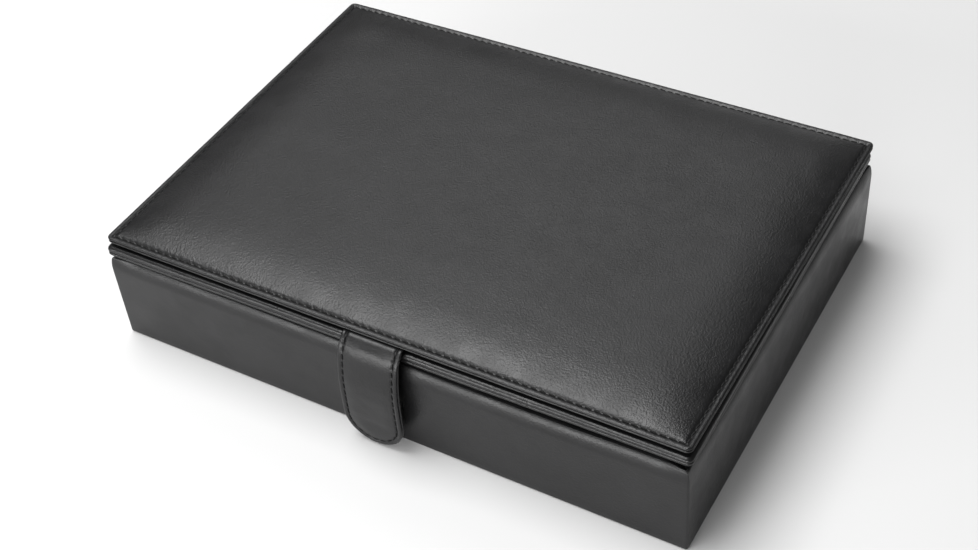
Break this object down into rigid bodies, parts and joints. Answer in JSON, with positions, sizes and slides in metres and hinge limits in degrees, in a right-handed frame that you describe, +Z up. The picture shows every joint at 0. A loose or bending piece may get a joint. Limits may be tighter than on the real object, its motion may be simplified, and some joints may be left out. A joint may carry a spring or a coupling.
{
  "type": "poker chip case",
  "caption": "Low rectangular case wrapped in black imitation leather, with chip channels and card pockets inside, a padded stitched lid on a leather spine and a magnetic strap closure.",
  "frame": {"origin": "centre of the flat underside of the box", "axes": "+X to the right along the front, +Y towards the spine at the back, +Z up out of the lid"},
  "size_m": [0.3, 0.225, 0.0654],
  "materials": {
    "outer_leather": "satin",
    "board": "matte",
    "velour_lining": "matte",
    "tray_flock": "matte",
    "clasp_steel": "polished",
    "pad_foam": "matte"
  },
  "bodies": {
    "base": {"base_floor_board": "board", "base_front_board": "board", "base_back_board": "board", "base_left_board": "board", "base_right_board": "board", "base_wrap": "outer_leather", "base_bottom_sheet": "outer_leather", "base_lining": "velour_lining", "chip_tray_left": "tray_flock", "chip_tray_right": "tray_flock", "card_tray": "tray_flock", "base_spine": "outer_leather", "clasp_cup": "clasp_steel", "clasp_magnet": "clasp_steel", "clasp_washer": "clasp_steel"},
    "lid": {"lid_board": "board", "lid_filler": "board", "lid_wrap": "outer_leather", "lid_lining": "velour_lining", "panel_backing": "outer_leather", "foam_pad": "pad_foam", "top_cover": "outer_leather", "lid_spine": "outer_leather", "strap_tail": "outer_leather"},
    "strap": {"strap_outer": "outer_leather", "strap_stiffener": "board", "strap_inner": "outer_leather", "clasp_disc": "clasp_steel"}
  },
  "joints": [
    {"name": "lid_hinge", "type": "hinge", "parent": "base", "child": "lid", "pos_m": [0, 0.1079, 0.053], "axis": [-1, 0, 0], "range_deg": [0, 105]},
    {"name": "strap_hinge", "type": "hinge", "parent": "lid", "child": "strap", "pos_m": [0, -0.1076, 0.058], "axis": [-1, 0, 0], "range_deg": [0, 120]}
  ]
}
